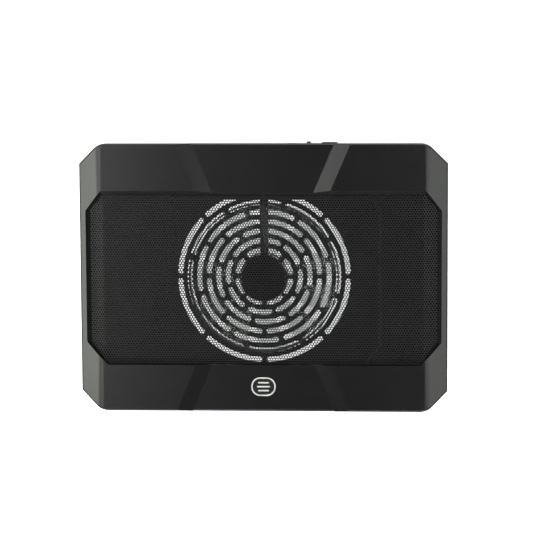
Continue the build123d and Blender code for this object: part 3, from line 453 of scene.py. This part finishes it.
# whole rows from one long edge to the other, with the first one at zero
first_row = corners[:, 1].min() + LIP + EDGE_MARGIN + ROOM
row_span = corners[:, 1].max() - LIP - EDGE_MARGIN - ROOM - first_row
PITCH_ALONG = row_span / round(row_span / ROW_PITCH)
TO_ROWS = np.array((0, first_row))

# a hole's lip, and the six corners of its cell: half pitches across, rows along and the side of that row
TURNS = (np.arange(HOLE_SIDES) + 0.5) * math.tau / HOLE_SIDES
LIP_RING = np.stack((np.cos(TURNS), np.sin(TURNS)), axis=1) * LIP
CORNER_RISE = (PITCH_ALONG**2 - PITCH_ACROSS**2 / 4) / (2 * PITCH_ALONG)
CELL_CODE = np.array([(1, 0, 1), (0, 1, -1), (-1, 0, 1), (-1, 0, -1), (0, -1, 1), (1, 0, -1)])


# ------------------------------------------------------------------ the pattern of holes
def place_of(grid):
    """Where grid numbers lie: half pitches across and rows along."""
    return grid * (PITCH_ACROSS / 2, PITCH_ALONG)


def corner_places(codes):
    """Where cell corners lie, from their grid numbers and the side of the row that they are on."""
    places = place_of(codes[:, :2])
    places[:, 1] += codes[:, 2] * CORNER_RISE
    return places


CELL = corner_places(CELL_CODE)


def rows_and_columns(low, high):
    """Grid numbers of the staggered holes between two corners."""
    rows = np.arange(math.floor(low[1] / PITCH_ALONG), math.ceil(high[1] / PITCH_ALONG) + 1)
    halves = np.arange(math.floor(2 * low[0] / PITCH_ACROSS), math.ceil(2 * high[0] / PITCH_ACROSS) + 1)
    return np.array([(half, row) for row in rows for half in halves if (half + row) % 2 == 0])


def nearest_hole(points):
    """Grid numbers of the hole whose centre is nearest to each point, and how far off it is."""
    best = np.full(len(points), np.inf)
    found = np.zeros((len(points), 2), dtype=int)
    base_row = np.floor(points[:, 1] / PITCH_ALONG).astype(int)
    for row in (base_row, base_row + 1):
        half = 2 * np.round((points[:, 0] * 2 / PITCH_ACROSS - row % 2) / 2).astype(int) + row % 2
        grid = np.stack((half, row), axis=1)
        distance = np.linalg.norm(place_of(grid) - points, axis=1)
        closer = distance < best
        best[closer] = distance[closer]
        found[closer] = grid[closer]
    return found, best


def room_inside(points, corners):
    """How far each point lies inside a convex outline that runs anticlockwise."""
    room = np.full(len(points), np.inf)
    for start, end in zip(corners, np.roll(corners, -1, axis=0)):
        edge = (end - start) / np.linalg.norm(end - start)
        room = np.minimum(room, edge[0] * (points[:, 1] - start[1]) - edge[1] * (points[:, 0] - start[0]))
    return room


def holes_inside(corners):
    """Grid numbers of the holes that fit in an outline, and which of them have their whole cell in it."""
    grid = rows_and_columns(corners.min(axis=0), corners.max(axis=0))
    centres = place_of(grid)
    cell_corners = (centres[:, None] + CELL).reshape(-1, 2)
    whole = room_inside(cell_corners, corners).reshape(-1, len(CELL)).min(axis=1) > EDGE_MARGIN
    fits = whole | (room_inside(centres, corners) > LIP + EDGE_MARGIN)
    return grid[fits], whole[fits]


# ------------------------------------------------------------------ triangles of the flat sheet
# the least area of a triangle, in square metres, and the least gap between points, in millimetres
FLAT_AREA = 1e-12
CLOSEST_POINTS = 1e-5
# a filling triangle whose middle is nearer to a hole's centre than this share of the lip is inside it
INSIDE_HOLE = 0.9


def lip_places(numbers):
    """The places of the lip's points of each numbered hole."""
    return numbers[:, None] * HOLE_SIDES + np.arange(HOLE_SIDES)


def ring_between(inner, outer):
    """Triangles that fill the ring between two anticlockwise loops, as places in inner then outer."""
    angle = [math.atan2(y, x) % math.tau for x, y in (*inner, *outer)]
    loops = [list(range(len(inner))), [len(inner) + place for place in range(len(outer))]]
    loops = [sorted(loop, key=lambda place: angle[place]) for loop in loops]
    steps = sorted(
        (angle[place], side, order) for side, loop in enumerate(loops) for order, place in enumerate(loop)
    )
    latest = [loops[0][-1], loops[1][-1]]
    triangles = []
    for _, side, order in steps:
        place = loops[side][order]
        triangles.append((*latest, place))
        latest[side] = place
    return np.array(triangles)


def counterclockwise(points, triangles):
    """The triangles that have an area, all turned the same way round."""
    a, b, c = (points[triangles[:, place]] for place in range(3))
    area = (b[:, 0] - a[:, 0]) * (c[:, 1] - a[:, 1]) - (b[:, 1] - a[:, 1]) * (c[:, 0] - a[:, 0])
    triangles = triangles.copy()
    triangles[area < 0] = triangles[area < 0][:, ::-1]
    return triangles[np.abs(area) > FLAT_AREA]


def open_edges(triangles):
    """The directed edges that only one triangle uses."""
    edges = np.concatenate((triangles[:, (0, 1)], triangles[:, (1, 2)], triangles[:, (2, 0)]))
    ordered = np.sort(edges, axis=1)
    _, first, counts = np.unique(ordered, axis=0, return_index=True, return_counts=True)
    return edges[first[counts == 1]]


def whole_cells(grid, whole):
    """Points of every hole's lip and every whole cell, the hole that each is on, and the cells' triangles."""
    lips = (place_of(grid)[:, None] + LIP_RING).reshape(-1, 2)
    codes = (grid[whole, None, :] + CELL_CODE[:, :2]).reshape(-1, 2)
    sides = np.tile(CELL_CODE[:, 2], whole.sum())
    keys, corner_of = np.unique(np.column_stack((codes, sides)), axis=0, return_inverse=True)
    points = np.concatenate((lips, corner_places(keys)))
    holes = np.concatenate((np.repeat(np.arange(len(grid)), HOLE_SIDES), np.full(len(keys), -1)))
    cell_corners = corner_of.reshape(-1, len(CELL)) + len(lips)
    local = np.concatenate((lip_places(np.flatnonzero(whole)), cell_corners), axis=1)
    return points, holes, local[:, ring_between(LIP_RING, CELL)].reshape(-1, 3)


def divided(corners):
    """Points round an outline, its corners among them, at most half a pitch apart."""
    sides = []
    for start, end in zip(corners, np.roll(corners, -1, axis=0)):
        count = max(1, math.ceil(np.linalg.norm(end - start) / (PITCH_ACROSS / 2)))
        sides.append(start + (end - start) * np.arange(count)[:, None] / count)
    return np.concatenate(sides)


def filling_between(points, edges, grid, whole):
    """Triangles among the edges' points, except those in a whole cell or in a hole."""
    used, renamed = np.unique(edges, return_inverse=True)
    places = [Vector(point) for point in points[used] / MM]
    result = delaunay_2d_cdt(places, renamed.reshape(-1, 2).tolist(), [], 0, CLOSEST_POINTS)
    origin = np.array([used[source[0]] for source in result[3]])
    filling = origin[np.array(result[2])]
    nearest, distance = nearest_hole(points[filling].mean(axis=1))
    with_cell = {tuple(place) for place in grid[whole]}
    without_cell = {tuple(place) for place in grid[~whole]}
    keep = [
        tuple(place) not in with_cell and not (tuple(place) in without_cell and gap < LIP * INSIDE_HOLE)
        for place, gap in zip(nearest, distance)
    ]
    return filling[keep]


def bands_of(points, holes, triangles, centres, corners):
    """The band of each triangle, which follows the hole that it touches, or else its nearest hole."""
    touching = holes[triangles].max(axis=1)
    middle = place_of(nearest_hole(points[triangles].mean(axis=1))[0])
    middle[touching >= 0] = centres[touching[touching >= 0]]
    low, high = corners[:, 0].min(), corners[:, 0].max()
    bands = ((middle[:, 0] - low) / (high - low) * PANEL_BANDS).astype(int)
    return np.clip(bands, 0, PANEL_BANDS - 1)


def perforated_sheet(corners):
    """Points, hole numbers, hole centres, triangles and bands of a sheet with staggered round holes."""
    grid, whole = holes_inside(corners)
    points, holes, triangles = whole_cells(grid, whole)
    outline = divided(corners)
    around = len(points) + np.arange(len(outline))
    points = np.concatenate((points, outline))
    holes = np.concatenate((holes, np.full(len(outline), -1)))

    # the stretch between the outline, the whole cells and the holes beside them
    inner = open_edges(counterclockwise(points, triangles))
    rings = lip_places(np.flatnonzero(~whole))
    edges = np.concatenate((
        np.stack((around, np.roll(around, -1)), axis=1),
        inner[(holes[inner] < 0).all(axis=1)],
        np.stack((rings, np.roll(rings, -1, axis=1)), axis=2).reshape(-1, 2),
    ))
    triangles = np.concatenate((triangles, filling_between(points, edges, grid, whole)))
    triangles = counterclockwise(points, triangles)
    centres = place_of(grid)
    return points, holes, centres, triangles, bands_of(points, holes, triangles, centres, corners)


# ------------------------------------------------------------------ the sheet's solid bands
SHARP_ANGLE = math.radians(30)


def build_mesh(name, points, triangles):
    mesh = bpy.data.meshes.new(name)
    mesh.vertices.add(len(points))
    mesh.vertices.foreach_set("co", points.astype(np.float32).ravel())
    mesh.loops.add(triangles.size)
    mesh.loops.foreach_set("vertex_index", triangles.astype(np.int32).ravel())
    mesh.polygons.add(len(triangles))
    mesh.polygons.foreach_set("loop_start", np.arange(0, triangles.size, 3, dtype=np.int32))
    mesh.update(calc_edges=True)
    mesh.validate()
    mesh.shade_smooth()
    mesh.set_sharp_from_angle(angle=SHARP_ANGLE)
    return mesh


def bent_height(plane):
    """The height of the sheet's upper side over points of its outline's plane."""
    return np.interp(np.abs(plane[:, 0]), profile_across, profile_height)


def wall_between(rim, start, end):
    """Triangles of the wall from one layer of a rim's points to another."""
    a, b = rim.T
    return [
        np.stack((b + start, a + start, a + end), axis=1),
        np.stack((b + start, a + end, b + end), axis=1),
    ]


def solid_band(name, plane, hole, centres, local):
    """A closed mesh: upper side, lower side, the holes' tapered walls and the outer edges."""
    count = len(plane)
    on_lip = hole >= 0
    centre = centres[hole[on_lip]]
    waist = plane.copy()
    waist[on_lip] = centre + (plane[on_lip] - centre) * (HOLE_RADIUS / LIP)
    upper = bent_height(plane)
    layers = [
        np.column_stack((plane, upper)),
        np.column_stack((plane, upper - thickness)),
        np.column_stack((waist, bent_height(waist) - thickness / 2)),
    ]
    top, bottom, middle = 0, count, 2 * count
    rim = open_edges(local)
    of_hole = (hole[rim] >= 0).all(axis=1) & (hole[rim[:, 0]] == hole[rim[:, 1]])
    faces = [local, local[:, ::-1] + bottom]
    faces += wall_between(rim[of_hole], top, middle)
    faces += wall_between(rim[of_hole], middle, bottom)
    faces += wall_between(rim[~of_hole], top, bottom)
    seen, renamed = np.unique(np.concatenate(faces), return_inverse=True)
    points = moved(np.concatenate(layers), FROM_DECK)
    return build_mesh(name, points[seen], renamed.reshape(-1, 3))


flat, holes, hole_centres, triangles, bands = perforated_sheet(corners - TO_ROWS)
flat = flat + TO_ROWS
hole_centres = hole_centres + TO_ROWS

for band in range(PANEL_BANDS):
    used, local = np.unique(triangles[bands == band], return_inverse=True)
    mesh = solid_band(
        f"perforated_panel_{band + 1}", flat[used], holes[used], hole_centres, local.reshape(-1, 3)
    )
    mesh.materials.append(materials["mesh_steel"])
    panel = bpy.data.objects.new(mesh.name, mesh)
    bpy.context.scene.collection.objects.link(panel)
    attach(panel, "base")
    if band == 0:
        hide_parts("mesh_panel")
